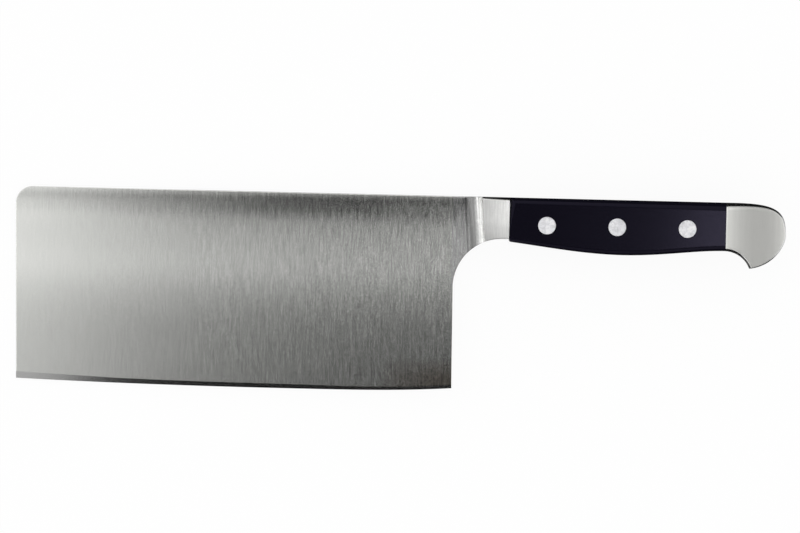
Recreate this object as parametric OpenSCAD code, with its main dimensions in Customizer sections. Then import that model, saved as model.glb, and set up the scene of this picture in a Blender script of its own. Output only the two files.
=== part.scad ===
// A broad kitchen cleaver with a forged bolster, full tang and hooked butt,
// and two handle scales held by three two-part rivets.
//
// The knife lies flat: +X runs from the blade to the butt, +Y from the edge to
// the spine, and +Z out of the upper cheek. Sizes are measured from the heel,
// the lower rear corner of the blade, in the middle of the knife's thickness.
// The whole is then moved so that the origin is the middle of its underside.

/* [Blade] */
// Length of the cutting edge, from the heel to the front corner
blade_len = 180; // [140:1:220]
// Height of the spine above the heel
blade_h = 79.4; // [65:0.1:95]
// How far the front leans forward between the edge and the nose
front_lean = 1.8; // [0.5:0.1:5]
// Radius of the nose, where the front meets the spine
nose_r = 7; // [4:0.5:15]
// Thickness at the spine
spine_t = 2.8; // [2:0.1:4]
// Thickness at the foot of the cheeks, level with the heel
cheek_t = 0.7; // [0.4:0.05:1.2]
// Chamfer along the spine's two long corners
spine_ease = 0.3; // [0.1:0.05:0.6]
// Slope of each ground edge bevel, in degrees from the middle plane
bevel_angle = 14; // [10:0.5:22]
// How far the edge bows down below its two corners
belly = 1.65; // [0.8:0.05:4]
// Distance of the edge's lowest point from the heel
belly_at = 66; // [45:1:100]

/* [Bolster] */
// Distance from the heel to the seam between the bolster and the scales
neck_len = 22.3; // [21.5:0.1:28]
// Height of the bolster at that seam
bolster_h = 17.2; // [15:0.1:22]
// Length of the bolster's flat side, halfway up the seam
bolster_flat = 10.7; // [7:0.1:14]
// Radius of the hollow between the heel and the bolster
heel_r = 20.1; // [14:0.1:21]
// How far the heel leans forward between the edge and the hollow
heel_lean = 0.4; // [0.1:0.1:2]
// Radius of the concave ramp from the cheeks up to the bolster's sides
ramp_r = 8.5; // [7.8:0.1:12]
// Turn of the ramp away from square, in degrees
ramp_turn = 5; // [0:0.5:10]
// Chamfer on the bolster's rims round the hollow
rim_cut = 0.8; // [0.3:0.1:1.5]

/* [Handle] */
// Thickness of the handle over both scales
handle_t = 17; // [14:0.5:22]
// Length of the scales, from seam to seam
grip_len = 89.4; // [80:0.1:110]
// Height of the handle at the front seam
grip_front_h = 18.3; // [17.6:0.1:22]
// Height of the handle where it is fullest
grip_belly_h = 22.7; // [21:0.1:26]
// Distance of the fullest place behind the front seam
grip_belly_at = 47.7; // [35:0.1:60]
// Height of the handle at the rear seam
grip_rear_h = 20; // [18:0.1:23]
// Rounding of the handle's long edges at the front seam
ease_front = 2; // [1:0.1:3]
// Rounding of the handle's long edges at the rear seam
ease_rear = 3.2; // [1.5:0.1:4]
// Chamfer on the lower front corner of the grip
corner_cut = 0.5; // [0.2:0.1:1]
// Thickness of the tang between the scales
tang_t = 4; // [2.5:0.1:6]

/* [Butt] */
// Length of the butt behind the rear seam
butt_len = 24.8; // [22:0.1:32]
// Distance of the hook's point behind the rear seam
hook_at = 10.6; // [8:0.1:14]
// Height of the butt from the hook's point to the top
hook_h = 27; // [24.5:0.1:32]
// Depth of the butt's rearmost point below the top
butt_end_drop = 13.4; // [10:0.1:17]
// Length of the butt's top that stays straight behind the rear seam
butt_top_flat = 3.3; // [1:0.1:6]
// Rounding of the butt's rim at its rear end
ease_end = 1.4; // [0.8:0.1:2.5]
// Rounding of the rim at the hook's point
ease_hook = 0.5; // [0.3:0.1:0.8]

/* [Rivets] */
// Diameter of the rivet heads
head_d = 7.7; // [7:0.1:9]
// Thickness of the rivet heads
head_h = 2.6; // [1.5:0.1:3.5]
// Chamfer on the rim of the rivet heads
head_rim = 0.15; // [0.05:0.05:0.4]
// Outer diameter of the sleeves
sleeve_d = 5; // [4.4:0.1:6]
// Diameter of the studs' shanks
stud_d = 3.2; // [2.5:0.1:3.8]
// Distance of the first rivet behind the front seam
rivet_first = 15.6; // [10:0.1:20]
// Distance from rivet to rivet
rivet_pitch = 29; // [22:0.1:32]
// Depth of the rivets' centres below the handle's top
rivet_drop = 11.3; // [9:0.1:13]
// Clearance around the rivets, on the radius
hole_gap = 0.05; // [0.02:0.01:0.2]
// Clearance between a stud and its sleeve, on the radius
press_gap = 0.01; // [0.005:0.005:0.05]
// Space left at the ends of the studs and sleeves
end_gap = 0.4; // [0.2:0.1:0.8]

/* [Hidden] */

$fn = 64;

// Number of rivets
rivets = 3;
// Steps along a curve of an outline, round an eased edge, and along the cutting edge
curve_steps = 10;
ease_steps = 5;
edge_steps = 10;

// Overrun of cuts past the faces that they go through
over = 1;
// Depth by which the ramp's foot runs in under the cheeks, so that it crosses them
ramp_dip = 0.1;
// Length of the roots by which the tang grows into the bolster and the butt, and
// how far they lie inside them
root_len = 3;
root_inset = 0.6;

// Exponents that bend the edge in front of its lowest point and behind it
edge_bend_shares = [2.2, 3.2];
// Places of the curves' two inner points between their end points, as shares of
// the end points' distance along X and along Y
grip_front_shares = [[0.33, 0.425], [0.66, 1]];
grip_rear_shares = [[0.38, 0], [0.7, 1]];
hook_front_shares = [[0.45, 0], [0.83, 0.39]];
butt_low_shares = [[0.79, 0.15], [1, 0.85]];
butt_top_shares = [[0, 0.82], [0.21, 1]];

half_t = handle_t / 2;
rear_seam = neck_len + grip_len;
butt_end = rear_seam + butt_len;
nose_end = blade_len + front_lean;
heel_c = [heel_r - heel_lean, blade_h - bolster_h - heel_r];
nose_c = [nose_r - nose_end, blade_h - nose_r];
cheek_angle = atan((spine_t - cheek_t) / 2 / blade_h);
shift = [(nose_end - butt_end) / 2, (belly - blade_h) / 2, half_t];

function unit(v) = v / norm(v);
function lerp(a, b, t) = a + (b - a) * t;

// Points round a circle's arc, both ends included
function arc(c, r, from, to) = [
    for (i = [0:curve_steps])
        let (a = lerp(from, to, i / curve_steps))
        c + r * [cos(a), sin(a)]
];

// Points along a cubic curve from a to b, without its first point
function curve(a, b, shares) =
    let (
        p = [for (s = shares) [lerp(a[0], b[0], s[0]), lerp(a[1], b[1], s[1])]]
    )
    [
        for (i = [1:curve_steps])
            let (t = i / curve_steps, u = 1 - t)
            u * u * u * a + 3 * u * u * t * p[0] + 3 * u * t * t * p[1] + t * t * t * b
    ];

// Outward direction at a corner of an outline that runs anticlockwise, as long
// as it takes to move both sides out by one
function side_normal(a, b) = let (d = unit(b - a)) [d[1], -d[0]];
function corner_normal(a, p, b) =
    let (m = side_normal(a, p) + side_normal(p, b))
    2 * m / (m * m);

// Outward directions of a handle outline: its corners on the seams move only up
// or down, so that the seams stay flat
function handle_normals(chain) =
    let (n = len(chain))
    [
        for (i = [0:n - 1])
            chain[i][0] == neck_len || chain[i][0] == rear_seam
                ? [0, chain[i][1] > blade_h - ease_front ? 1 : -1]
                : corner_normal(chain[i - 1], chain[i], chain[(i + 1) % n])
    ];

// One level of an eased form: share 0 is the flat face and share 1 the wall
function level(chain, normals, side, share) = [
    for (i = [0:len(chain) - 1])
        let (
            ease = handle_ease(chain[i]),
            z = half_t - ease * (1 - cos(90 * share)),
            p = chain[i] - ease * (1 - sin(90 * share)) * normals[i]
        )
        [p[0], p[1], side * z]
];

// Rounding of the handle's edges at a place: it grows along the grip, and along
// the butt it shrinks to the rim's own
function handle_ease(p) =
    let (
        along_grip = (p[0] - neck_len) / grip_len,
        along_butt = (p[0] - rear_seam) / butt_len,
        near_hook = max(0, 1 - norm(p - hook) / hook_at)
    )
    p[0] <= rear_seam
        ? lerp(ease_front, ease_rear, along_grip)
        : lerp(lerp(ease_rear, ease_end, along_butt), ease_hook, near_hook);

// Corners of the handle's outline
grip_front = [neck_len, blade_h - grip_front_h];
grip_start = grip_front + [corner_cut, 0];
grip_belly = [neck_len + grip_belly_at, blade_h - grip_belly_h];
grip_rear = [rear_seam, blade_h - grip_rear_h];
hook = [rear_seam + hook_at, blade_h - hook_h];
rearmost = [butt_end, blade_h - butt_end_drop];
top_bend = [rear_seam + butt_top_flat, blade_h];
top_rear = [rear_seam, blade_h];
top_front = [neck_len, blade_h];

// The underside of the grip, from the front seam to the rear seam
grip_under = concat(
    [grip_front + [0, corner_cut], grip_start],
    curve(grip_start, grip_belly, grip_front_shares),
    curve(grip_belly, grip_rear, grip_rear_shares)
);

butt_chain = concat(
    [grip_rear],
    curve(grip_rear, hook, hook_front_shares),
    curve(hook, rearmost, butt_low_shares),
    curve(rearmost, top_bend, butt_top_shares),
    [top_rear]
);

// The tang has the grip's outline, and a root in the bolster and in the butt
root_low = blade_h - bolster_h + root_inset;
root_top = blade_h - root_inset;
rear_low = grip_rear[1] + root_inset;

tang_chain = concat(
    [[neck_len - root_len, root_low], [neck_len, root_low]],
    grip_under,
    [
        [rear_seam, rear_low],
        [rear_seam + root_len, rear_low],
        [rear_seam + root_len, root_top],
        [rear_seam, root_top],
        top_rear,
        top_front,
        [neck_len, root_top],
        [neck_len - root_len, root_top]
    ]
);

// Front half: the top, the nose, the front, below the edge, the heel, the hollow
// and the bolster's underside
function front_x(y) = -lerp(blade_len, nose_end, y / nose_c[1]);
function heel_x(y) = -heel_lean * y / heel_c[1];
low = -(belly + over);

front_chain = concat(
    [[neck_len, blade_h]],
    arc(nose_c, nose_r, 90, 180),
    [[front_x(low), low], [heel_x(low), low]],
    arc(heel_c, heel_r, 180, 90),
    [[neck_len, blade_h - bolster_h]]
);

// Height of the cutting edge at each step from the front to the heel
function edge_bow(x) =
    let (
        ahead = x < -belly_at,
        run = ahead ? blade_len - belly_at : belly_at,
        bend = edge_bend_shares[ahead ? 0 : 1]
    )
    -belly * (1 - pow(abs(x + belly_at) / run, bend));

edge_xs = concat(
    [-nose_end - over],
    [for (i = [0:edge_steps]) lerp(-blade_len, -belly_at, i / edge_steps)],
    [for (i = [1:edge_steps]) lerp(-belly_at, 0, i / edge_steps)],
    [neck_len + over]
);

// A handle piece of the given outline whose rim is rounded over, on both sides
// or only on the upper one, above a flat floor
module eased_form(chain, floor_z = undef) {
    n = len(chain);
    normals = handle_normals(chain);
    rise = [for (k = [0:ease_steps]) k / ease_steps];
    lower = is_undef(floor_z)
        ? [for (share = rise) level(chain, normals, -1, share)]
        : [[for (p = chain) [p[0], p[1], floor_z]]];
    upper = [for (share = rise) level(chain, normals, 1, 1 - share)];
    levels = concat(lower, upper);
    walls = [
        for (j = [0:len(levels) - 2], i = [0:n - 1])
            let (next = (i + 1) % n)
            [j * n + i, (j + 1) * n + i, (j + 1) * n + next, j * n + next]
    ];
    caps = [
        [for (i = [0:n - 1]) i],
        [for (i = [n - 1:-1:0]) (len(levels) - 1) * n + i]
    ];
    polyhedron([for (l = levels) each l], concat(walls, caps), convexity = 4);
}

// Half thickness of the flat cheeks at a height y
function cheek_z(y) = lerp(cheek_t, spine_t, y / blade_h) / 2;

// Section of the blade above the bevels, with its chamfered spine
module cheek_section() {
    eased_y = blade_h - spine_ease;
    right = [
        [low - over, cheek_z(low - over)],
        [eased_y, cheek_z(eased_y)],
        [blade_h, cheek_z(blade_h) - spine_ease]
    ];
    left = [for (i = [len(right) - 1:-1:0]) [right[i][0], -right[i][1]]];
    polygon(concat(right, left));
}

module cheeks() {
    start = -nose_end - over;
    translate([start, 0, 0])
        rotate([90, 0, 90])
            linear_extrude(neck_len - root_len - start)
                cheek_section();
}

// The wedge between the two bevels, which follows the bow of the edge
module edge_wedge() {
    rise = tan(bevel_angle);
    n = len(edge_xs);
    sections = [
        for (x = edge_xs)
            let (
                bow = x < -blade_len || x > 0 ? 0 : edge_bow(x),
                top = blade_h + over,
                z = (top - bow) * rise
            )
            each [[x, bow, 0], [x, top, z], [x, top, -z]]
    ];
    walls = [
        for (i = [0:n - 2], j = [0:2])
            let (k = (j + 1) % 3)
            [3 * i + j, 3 * i + k, 3 * i + 3 + k, 3 * i + 3 + j]
    ];
    ends = [[2, 1, 0], [3 * n - 3, 3 * n - 2, 3 * n - 1]];
    polyhedron(sections, concat(walls, ends), convexity = 4);
}

// Section of the bolster, rounded along the top
module bolster_section() {
    e = ease_front;
    right = [
        for (k = [0:ease_steps])
            let (a = 90 * k / ease_steps)
            [blade_h - e * (1 - sin(a)), half_t - e * (1 - cos(a))]
    ];
    up = concat([[heel_c[1], half_t]], right, [[blade_h + over, half_t - e]]);
    down = [for (i = [len(up) - 1:-1:0]) [up[i][0], -up[i][1]]];
    polygon(concat(up, down));
}

// The bolster's block: its front is hollowed into a ramp on each side, and its
// lower rim is chamfered round the heel's hollow
module bolster_block() {
    mid_y = blade_h - bolster_h / 2;
    ramp_z = cheek_z(mid_y) + ramp_r - ramp_dip;
    ramp_x = neck_len - bolster_flat - sqrt(ramp_r * ramp_r - pow(ramp_z - half_t, 2));
    ramp_w = 2 * (blade_h - heel_c[1]);
    difference() {
        translate([ramp_x, 0, 0])
            rotate([90, 0, 90])
                linear_extrude(neck_len - ramp_x)
                    bolster_section();
        for (side = [-1, 1])
            translate([ramp_x, mid_y, side * ramp_z])
                rotate([side * cheek_angle, 0, ramp_turn])
                    rotate([90, 0, 0])
                        cylinder(h = ramp_w, r = ramp_r, center = true);
        for (side = [0, 1])
            mirror([0, 0, side])
                translate([heel_c[0], heel_c[1], half_t - rim_cut - over])
                    cylinder(
                        h = rim_cut + 2 * over,
                        r1 = heel_r - over,
                        r2 = heel_r + rim_cut + over
                    );
    }
}

module blade_and_bolster() {
    intersection() {
        linear_extrude(handle_t + 2 * over, center = true)
            polygon(front_chain);
        edge_wedge();
        union() {
            cheeks();
            bolster_block();
        }
    }
}

// Centre of a rivet, counted from the front
function rivet_at(i) = [
    neck_len + rivet_first + i * rivet_pitch,
    blade_h - rivet_drop
];

module tang() {
    linear_extrude(tang_t, center = true)
        difference() {
            polygon(tang_chain);
            for (i = [0:rivets - 1])
                translate(rivet_at(i))
                    circle(d = sleeve_d + 2 * hole_gap);
        }
}

module blade_forging() {
    color("silver")
        translate(shift)
            union() {
                blade_and_bolster();
                tang();
                eased_form(butt_chain);
            }
}

// Height above the middle plane at which a stud's head sits in its scale
seat_z = half_t - head_h;

// The room that one rivet takes in the upper scale
module rivet_room() {
    cylinder(h = handle_t, d = sleeve_d + 2 * hole_gap, center = true);
    translate([0, 0, seat_z])
        cylinder(h = head_h + over, d = head_d + 2 * hole_gap);
}

module handle_scale(side) {
    color("#16151f")
        translate(shift)
            mirror([0, 0, side < 0 ? 1 : 0])
                difference() {
                    eased_form(concat(grip_under, [top_rear, top_front]), tang_t / 2);
                    for (i = [0:rivets - 1])
                        translate([rivet_at(i)[0], rivet_at(i)[1], 0])
                            rivet_room();
                }
}

module rivet_stud(i) {
    tip_z = -seat_z + end_gap;
    r = stud_d / 2;
    head_r = head_d / 2;
    color("gainsboro")
        translate(shift + [rivet_at(i)[0], rivet_at(i)[1], 0])
            rotate_extrude()
                polygon([
                    [0, tip_z],
                    [r - head_rim, tip_z],
                    [r, tip_z + head_rim],
                    [r, seat_z],
                    [head_r, seat_z],
                    [head_r, half_t - head_rim],
                    [head_r - head_rim, half_t],
                    [0, half_t]
                ]);
}

module rivet_sleeve(i) {
    r = sleeve_d / 2;
    bore_r = stud_d / 2 + press_gap;
    head_r = head_d / 2;
    color("lightgray")
        translate(shift + [rivet_at(i)[0], rivet_at(i)[1], 0])
            rotate_extrude()
                polygon([
                    [0, -half_t],
                    [head_r - head_rim, -half_t],
                    [head_r, -half_t + head_rim],
                    [head_r, -seat_z],
                    [r, -seat_z],
                    [r, seat_z - end_gap],
                    [bore_r, seat_z - end_gap],
                    [bore_r, -seat_z],
                    [0, -seat_z]
                ]);
}

blade_forging();
handle_scale(1);  // handle_scale_upper
handle_scale(-1);  // handle_scale_lower
for (i = [0:rivets - 1])
    rivet_stud(i);
for (i = [0:rivets - 1])
    rivet_sleeve(i);
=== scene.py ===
import math

import bmesh
import bpy
import numpy as np
from mathutils.geometry import delaunay_2d_cdt
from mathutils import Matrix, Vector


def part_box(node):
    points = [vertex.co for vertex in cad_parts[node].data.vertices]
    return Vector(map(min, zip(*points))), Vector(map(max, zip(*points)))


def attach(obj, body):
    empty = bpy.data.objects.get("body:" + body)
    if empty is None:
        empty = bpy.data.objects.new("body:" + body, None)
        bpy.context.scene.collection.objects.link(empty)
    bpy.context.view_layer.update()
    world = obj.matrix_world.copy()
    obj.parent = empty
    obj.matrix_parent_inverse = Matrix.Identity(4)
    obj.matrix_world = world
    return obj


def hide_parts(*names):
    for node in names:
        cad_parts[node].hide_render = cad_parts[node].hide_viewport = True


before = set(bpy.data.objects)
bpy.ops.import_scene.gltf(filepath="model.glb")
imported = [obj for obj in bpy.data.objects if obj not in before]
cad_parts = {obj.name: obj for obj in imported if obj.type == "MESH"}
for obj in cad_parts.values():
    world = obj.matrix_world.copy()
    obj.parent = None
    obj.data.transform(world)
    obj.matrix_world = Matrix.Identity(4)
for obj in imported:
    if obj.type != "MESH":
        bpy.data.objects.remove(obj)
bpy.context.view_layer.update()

# Sizes are in millimetres, counted from the heel, the lower rear corner of the
# blade: x runs to the butt, y to the spine, z out of the upper cheek.
MM = 0.001

BLADE_LEN = 180.0
BLADE_H = 79.4
FRONT_LEAN = 1.8
NOSE_R = 7.0
SPINE_T = 2.8
CHEEK_T = 0.7
RIM_ROUND = 0.15
CROWN_FROM = 66.0
CROWN_DROP = 0.2
HEEL_BEVEL_H = 1.4
BELLY = 1.65
BELLY_AT = 66.0
EDGE_BENDS = (2.2, 3.2)

NECK_LEN = 22.3
BOLSTER_H = 17.2
BOLSTER_FLAT = 10.7
HEEL_R = 20.1
HEEL_LEAN = 0.4
RAMP_R = 8.5
RAMP_TURN = math.radians(5)
RAMP_DIP = 0.02
RAMP_BLEND = 0.05
RAMP_POWER = 3
RAMP_TAKES_OVER = 5.0
RAMP_SINKS = 0.02
RIM_CUT = 0.8
RIM_FADES = 1.5
HOLLOW_CUT = 0.4
SEAM_ROUND = 0.25
EASE_RAMP = 1.0

HANDLE_T = 17.0
GRIP_LEN = 89.4
GRIP_FRONT_H = 18.3
GRIP_BELLY_H = 22.7
GRIP_BELLY_AT = 47.7
GRIP_REAR_H = 20.0
EASE_FRONT = 2.3
EASE_REAR = 3.2
CORNER_CUT = 0.5
TANG_T = 4.0

BUTT_LEN = 24.8
HOOK_AT = 10.6
HOOK_H = 27.0
BUTT_END_DROP = 13.4
BUTT_TOP_FLAT = 3.3
EASE_END = 1.4
EASE_HOOK = 0.5
HOOK_CLEAR = 1.6
ON_HOOK = 0.016

HEAD_D = 7.3
HEAD_H = 2.6
HEAD_RIM = 0.15
SLEEVE_D = 5.0
STUD_D = 3.2
RIVET_FIRST = 15.5
RIVET_PITCH = 29.0
RIVET_DROP = 11.3
HOLE_GAP = 0.05
PRESS_GAP = 0.01
END_GAP = 0.4
RIVETS = 3

HALF_T = HANDLE_T / 2
NOSE_END = BLADE_LEN + FRONT_LEAN
REAR_SEAM = NECK_LEN + GRIP_LEN
NOSE_C = (NOSE_R - NOSE_END, BLADE_H - NOSE_R)
HEEL_C = (HEEL_R - HEEL_LEAN, BLADE_H - BOLSTER_H - HEEL_R)
CHEEK_SLOPE = (SPINE_T - CHEEK_T) / 2 / BLADE_H
SEAT_Z = HALF_T - HEAD_H

# The heel's corner in the frame, from the box of the forging
forging_low, forging_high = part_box("blade_forging")
HEEL = np.array([
    forging_low.x + NOSE_END * MM,
    forging_high.y - BLADE_H * MM,
    (forging_low.z + forging_high.z) / 2,
])

# Distances from the rim at which the surfaces have a row of points
RIM_ROWS = np.array([0, 0.01, 0.04, 0.09, 0.15, 0.4, RIM_CUT])


def lerp(a, b, t):
    """The value a share t of the way from a to b."""
    return a + (b - a) * t


def place(points):
    """Millimetres from the heel into metres in the frame."""
    return HEEL + MM * np.asarray(points, float)


def new_object(name, data):
    """An object in the scene for a mesh, a camera or a light."""
    made = bpy.data.objects.new(name, data)
    bpy.context.scene.collection.objects.link(made)
    return made


def raised(loop, z):
    """A flat outline as points at height z."""
    return np.column_stack([loop, np.full(len(loop), z)])


# What the triangulation is asked for, and how near two of its points may lie
TRIANGLES_INSIDE = 1
CAP_REACH = 1e-6
# Points nearer than the first are one, and edges shorter than the second vanish
WELD_REACH = 0.002
SHORT_EDGE = 0.001
# Faces that meet at more than this angle meet at a crisp edge
SHARP_ANGLE = math.radians(30)


class Shell:
    """Collects grids of points and flat faces, and welds them into one closed mesh."""

    def __init__(self):
        self.points = []
        self.faces = []
        self.slots = []
        self.count = 0

    def add(self, points, faces, slot=0):
        """Points, and faces that count them from zero."""
        self.points.append(np.asarray(points, float).reshape(-1, 3))
        self.faces.extend((np.asarray(f) + self.count).tolist() for f in faces)
        self.slots.extend([slot] * len(faces))
        self.count += len(self.points[-1])

    def grid(self, points, slot=0, closed=False):
        """A grid of rows by columns of points becomes quads; a closed one joins its
        last column to its first."""
        rows, cols = points.shape[:2]
        index = np.arange(rows * cols).reshape(rows, cols)
        if closed:
            index = np.hstack([index, index[:, :1]])
        quads = np.stack(
            [index[:-1, :-1], index[:-1, 1:], index[1:, 1:], index[1:, :-1]], axis=-1
        )
        self.add(points, quads.reshape(-1, 4), slot)

    def both_sides(self, points, slot=0):
        """The grid and its mirror image in the middle plane."""
        self.grid(points, slot)
        self.grid(points * [1, 1, -1], slot)

    def bridge(self, line, slot=0):
        """The wall from a line of points to its mirror image in the middle plane."""
        self.grid(np.stack([line, line * [1, 1, -1]]), slot)

    def cap(self, loop, z, holes=(), slot=0):
        """A flat face at height z inside a loop, with round holes given as circles
        of points, cut into triangles."""
        rings = [np.asarray(r)[:, :2] for r in (loop, *holes)]
        starts = np.cumsum([0] + [len(r) for r in rings])
        edges = [
            (starts[k] + i, starts[k] + (i + 1) % len(r))
            for k, r in enumerate(rings)
            for i in range(len(r))
        ]
        corners, _, faces, _, _, _ = delaunay_2d_cdt(
            np.vstack(rings).tolist(), edges, [], TRIANGLES_INSIDE, CAP_REACH
        )
        flat = np.array([(c[0], c[1]) for c in corners])
        faces = np.array(faces)
        middles = flat[faces].mean(axis=1)
        solid = np.ones(len(faces), bool)
        for ring in rings[1:]:
            centre = ring.mean(axis=0)
            reach = np.linalg.norm(ring[0] - centre)
            solid &= np.linalg.norm(middles - centre, axis=1) > reach
        self.add(raised(flat, z), faces[solid], slot)

    def finish(self, name, materials, crease=None):
        """Welds the rows that the grids share, turns the faces outwards and places
        the mesh in the frame."""
        mesh = bpy.data.meshes.new(name)
        mesh.from_pydata(place(np.vstack(self.points)).tolist(), [], self.faces)
        mesh.polygons.foreach_set("material_index", self.slots)
        work = bmesh.new()
        work.from_mesh(mesh)
        bmesh.ops.remove_doubles(work, verts=work.verts, dist=WELD_REACH * MM)
        bmesh.ops.dissolve_degenerate(work, edges=work.edges, dist=SHORT_EDGE * MM)
        bmesh.ops.recalc_face_normals(work, faces=work.faces)
        work.to_mesh(mesh)
        work.free()
        mesh.shade_smooth()
        mesh.set_sharp_from_angle(angle=SHARP_ANGLE)
        if crease is not None:
            mark_crease(mesh, crease)
        box_map(mesh)
        for material in materials:
            mesh.materials.append(material)
        return new_object(name, mesh)


def mesh_points(mesh):
    """The mesh's points as rows of three metres."""
    flat = np.empty(len(mesh.vertices) * 3)
    mesh.vertices.foreach_get("co", flat)
    return flat.reshape(-1, 3)


def mark_crease(mesh, on_crease):
    """Keeps crisp each edge whose two ends are points for which on_crease is true."""
    ends = np.empty(len(mesh.edges) * 2, int)
    mesh.edges.foreach_get("vertices", ends)
    chosen = on_crease((mesh_points(mesh) - HEEL) / MM)[ends].reshape(-1, 2).all(axis=1)
    attribute = mesh.attributes.get("sharp_edge")
    sharp = np.empty(len(mesh.edges), bool)
    attribute.data.foreach_get("value", sharp)
    attribute.data.foreach_set("value", sharp | chosen)


def box_map(mesh):
    """A map in metres for the direction of the grinding: each face is laid out from
    the side that it looks to, with u along the knife wherever it can be."""
    points = mesh_points(mesh)
    corner = np.empty(len(mesh.loops), int)
    mesh.loops.foreach_get("vertex_index", corner)
    sizes = np.empty(len(mesh.polygons), int)
    mesh.polygons.foreach_get("loop_total", sizes)
    normals = np.empty(len(mesh.polygons) * 3)
    mesh.polygons.foreach_get("normal", normals)
    looks = np.abs(normals.reshape(-1, 3)).argmax(axis=1).repeat(sizes)
    x, y, z = points[corner].T
    u = np.where(looks == 0, y, x)
    v = np.where(looks == 2, y, z)
    layer = mesh.uv_layers.new(name="grain")
    layer.data.foreach_set("uv", np.column_stack([u, v]).ravel())


# The front of the forging: blade, ramp and bolster

def front_x(y):
    """Place along x of the blade's front, which leans forward up to the nose."""
    return -lerp(BLADE_LEN, NOSE_END, np.minimum(y, NOSE_C[1]) / NOSE_C[1])


def heel_x(y):
    """Place along x of the blade's rear edge, up to where the hollow begins."""
    return -HEEL_LEAN * np.minimum(y, HEEL_C[1]) / HEEL_C[1]


def edge_bow(x):
    """Height of the cutting edge: a curve that drops by the belly at its lowest
    point and climbs to zero at both ends, by a power of the distance."""
    ahead = x < -BELLY_AT
    run = np.where(ahead, BLADE_LEN - BELLY_AT, BELLY_AT)
    bend = np.where(ahead, *EDGE_BENDS)
    away = np.minimum(np.abs(x + BELLY_AT) / run, 1)
    return -BELLY * (1 - away ** bend)


def flat_cheek_z(y):
    """Half the blade's thickness, which grows evenly from the edge to the spine."""
    return CHEEK_T / 2 + CHEEK_SLOPE * y


def crown(y):
    """How far the ground cheek bows down near the spine, by the cube of the way into
    that strip."""
    into = np.clip((y - CROWN_FROM) / (BLADE_H - CROWN_FROM), 0, 1)
    return CROWN_DROP * into ** 3


def cheek_z(y):
    """Half the blade's thickness as it is ground."""
    return flat_cheek_z(y) - crown(y)


# How tall the ground bevel is along the edge, from the tip to the heel
BEVEL_ALONG = (
    (-180, 2.7), (-160, 2.5), (-137, 2.0), (-62, 1.75), (-40, HEEL_BEVEL_H), (0, HEEL_BEVEL_H),
)


def bevel_top(x):
    """Height of the line where the ground bevel meets the cheek."""
    return edge_bow(x) + np.interp(x, *zip(*BEVEL_ALONG))


RAMP_Y = BLADE_H - BOLSTER_H / 2
RAMP_Z = flat_cheek_z(RAMP_Y) + RAMP_R - RAMP_DIP
RAMP_X = NECK_LEN - BOLSTER_FLAT - math.sqrt(RAMP_R ** 2 - (RAMP_Z - HALF_T) ** 2)


def ramp_axis(y):
    """Place along x and height of the ramp's axis, which is turned a little."""
    away = y - RAMP_Y
    return RAMP_X - away * math.tan(RAMP_TURN), RAMP_Z + away * CHEEK_SLOPE


def ramp_reach(across):
    """The other coordinate of the ramp's hollow, a circle drawn towards a square: the
    powers of both coordinates add up to that of the radius."""
    return (RAMP_R ** RAMP_POWER - across ** RAMP_POWER) ** (1 / RAMP_POWER)


def ramp_z(x, y):
    """The concave ramp: the underside of a bar that lies across the blade. It takes
    the bow of the cheek over at its foot, and sinks into the cheek ahead of it."""
    axis_x, axis_z = ramp_axis(y)
    past = (x - axis_x) * math.cos(RAMP_TURN)
    bow = crown(y) * (1 - np.clip(past / RAMP_TAKES_OVER, 0, 1))
    sunk = RAMP_SINKS * np.maximum(-past, 0)
    return axis_z - ramp_reach(np.clip(past, 0, RAMP_R)) - bow - sunk


def ramp_top_x(y):
    """Place along x where the ramp reaches the side of the bolster."""
    axis_x, axis_z = ramp_axis(y)
    side_z = HALF_T - round_drop(BLADE_H - y, EASE_RAMP)
    return axis_x + ramp_reach(axis_z - side_z) / math.cos(RAMP_TURN)


def round_drop(distance, radius):
    """How far a rounded rim lies below the face, at a distance from the rim."""
    inside = np.clip(radius - distance, 0, radius)
    return radius - np.sqrt(radius ** 2 - inside ** 2)


def bolster_z(x, y):
    """The bolster's side. The rounding of its top grows from the ramp to the grip, by
    the square root of the way, and its rear edge has a narrow round."""
    share = np.clip((x - TOP_EDGE_X) / (NECK_LEN - TOP_EDGE_X), 0, 1)
    ease = lerp(EASE_RAMP, EASE_FRONT, np.sqrt(share))
    return HALF_T - round_drop(BLADE_H - y, ease) - round_drop(NECK_LEN - x, SEAM_ROUND)


def smooth_max(a, b, width):
    """The larger of two heights, blended where they differ by less than width."""
    near = np.maximum(width - np.abs(a - b), 0) / width
    return np.maximum(a, b) + near * near * width / 4


def neck_z(x, y, rim):
    """Half thickness between the blade and the grip, rim away from the outline."""
    side = smooth_max(cheek_z(y), ramp_z(x, y), RAMP_BLEND) - round_drop(rim, RIM_ROUND)
    side = np.where(x > ramp_top_x(y), HALF_T, side)
    hollow = np.hypot(x - HEEL_C[0], y - HEEL_C[1]) - HEEL_R
    return np.minimum(np.minimum(side, bolster_z(x, y)), HALF_T - HOLLOW_CUT + hollow)


TOP_EDGE_X = ramp_top_x(BLADE_H - EASE_RAMP)


BLADE_COLS = 150
BEVEL_ROWS = 3
LOW_ROWS = 16
HIGH_ROWS = 10
NOSE_ROWS = 12
RAMP_COLS = 48
FLAT_COLS = 14
# Distances from the seam of the bolster's last columns
SEAM_COLS = np.array([1.6, 0.8, 0.25, 0.16, 0.08, 0.03, 0])


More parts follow.
